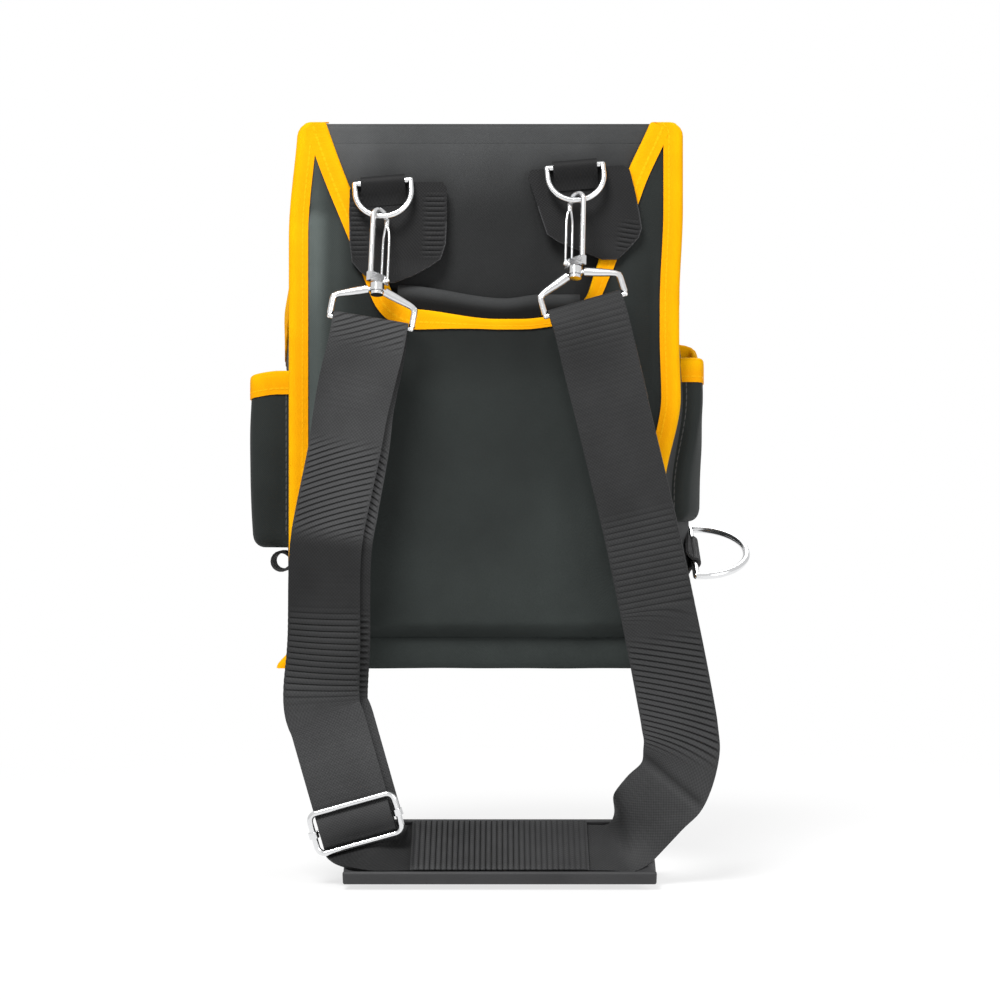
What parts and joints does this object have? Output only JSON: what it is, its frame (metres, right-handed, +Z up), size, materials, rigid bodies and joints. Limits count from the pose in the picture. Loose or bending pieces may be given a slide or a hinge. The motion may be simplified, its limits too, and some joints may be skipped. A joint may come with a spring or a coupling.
{
  "type": "garden tool bag",
  "caption": "Upright cloth tool bag with a tall stiffened back, tape-bound pockets, a steel hammer loop and a padded webbing shoulder strap on swivel snap hooks.",
  "frame": {"origin": "middle of the top edge of the back panel, half way through its thickness", "axes": "+Z up, +Y out of the front of the bag, so the rear panel and the strap face -Y"},
  "size_m": [0.3373, 0.2136, 0.4863],
  "materials": {
    "cloth": "matt charcoal oxford weave",
    "binding": "golden yellow woven binding tape",
    "webbing": "ribbed black webbing",
    "pad": "soft matt foam tray",
    "board": "stiffening sheet",
    "steel": "bright nickel plated wire"
  },
  "bodies": {
    "bag": {"back_panel": "cloth", "back_lining": "cloth", "top_hem": "cloth", "rear_pocket": "cloth", "rear_pocket_lining": "cloth", "left_side_wall": "cloth", "right_side_wall": "cloth", "front_wall": "cloth", "base_panel": "cloth", "left_side_pocket": "cloth", "right_side_pocket": "cloth", "tall_front_pocket": "cloth", "left_short_pocket": "cloth", "right_short_pocket": "cloth", "rear_mouth_binding": "binding", "left_edge_binding": "binding", "right_edge_binding": "binding", "left_rim_binding": "binding", "right_rim_binding": "binding", "front_rim_binding": "binding", "left_pocket_binding": "binding", "right_pocket_binding": "binding", "tall_pocket_binding": "binding", "short_pocket_bindings": "binding", "left_tool_loop": "webbing", "hammer_loop_holder": "webbing", "left_ring_tab": "webbing", "right_ring_tab": "webbing", "back_board": "board", "base_board": "board"},
    "left_ring": {"left_d_ring": "steel"},
    "right_ring": {"right_d_ring": "steel"},
    "strap": {"left_bail": "steel", "right_bail": "steel", "left_strap": "webbing", "right_strap": "webbing", "shoulder_pad": "pad", "pad_ribbed_cover": "webbing"},
    "left_hook": {"left_hook": "steel", "left_gate_pin": "steel"},
    "left_gate": {"left_gate": "steel"},
    "right_hook": {"right_hook": "steel", "right_gate_pin": "steel"},
    "right_gate": {"right_gate": "steel"},
    "slider": {"slider_frame": "steel", "slider_bar": "steel", "slider_webbing_hump": "webbing"},
    "hammer": {"hammer_loop": "steel"}
  },
  "joints": [
    {"name": "strap_swing", "type": "hinge", "parent": "bag", "child": "strap", "pos_m": [-0.0695, -0.01162, -0.0403], "axis": [-0.9966, 0, -0.0819], "range_deg": [0, 150]},
    {"name": "left_ring_swing", "type": "hinge", "parent": "bag", "child": "left_ring", "pos_m": [-0.0695, -0.01162, -0.0403], "axis": [-0.9966, 0, -0.0819], "range_deg": [0, 150]},
    {"name": "right_ring_swing", "type": "hinge", "parent": "bag", "child": "right_ring", "pos_m": [0.0546, -0.01162, -0.0301], "axis": [-0.9966, 0, -0.0819], "range_deg": [0, 150]},
    {"name": "left_hook_swivel", "type": "hinge", "parent": "strap", "child": "left_hook", "pos_m": [-0.07207, -0.03368, -0.11045], "axis": [0.03, 0.2591, 0.9654], "range_deg": [0, 76]},
    {"name": "right_hook_swivel", "type": "hinge", "parent": "strap", "child": "right_hook", "pos_m": [0.05403, -0.03368, -0.1], "axis": [0.03, 0.2591, 0.9654], "range_deg": [-76, 0]},
    {"name": "left_gate_open", "type": "hinge", "parent": "left_hook", "child": "left_gate", "pos_m": [-0.06772, -0.0276, -0.10601], "axis": [0.7482, -0.6463, 0.1502], "range_deg": [0, 14], "stiffness_Nm_per_rad": 0.04, "springref_deg": -28.65},
    {"name": "right_gate_open", "type": "hinge", "parent": "right_hook", "child": "right_gate", "pos_m": [0.04996, -0.0276, -0.0953], "axis": [0.7374, 0.6463, -0.1964], "range_deg": [0, 14], "stiffness_Nm_per_rad": 0.04, "springref_deg": -28.65},
    {"name": "slider_slide", "type": "slide", "parent": "strap", "child": "slider", "axis": [-0.2692, -0.0535, 0.9616], "range_m": [0, 0.05]},
    {"name": "hammer_loop_swing", "type": "hinge", "parent": "bag", "child": "hammer", "pos_m": [0.13645, 0.0555, -0.281], "axis": [0, 0.8829, 0.4695], "range_deg": [0, 80]}
  ],
  "couplings": [
    {"joint": "left_ring_swing", "follows": "strap_swing", "ratio": 1},
    {"joint": "right_ring_swing", "follows": "strap_swing", "ratio": 1}
  ]
}
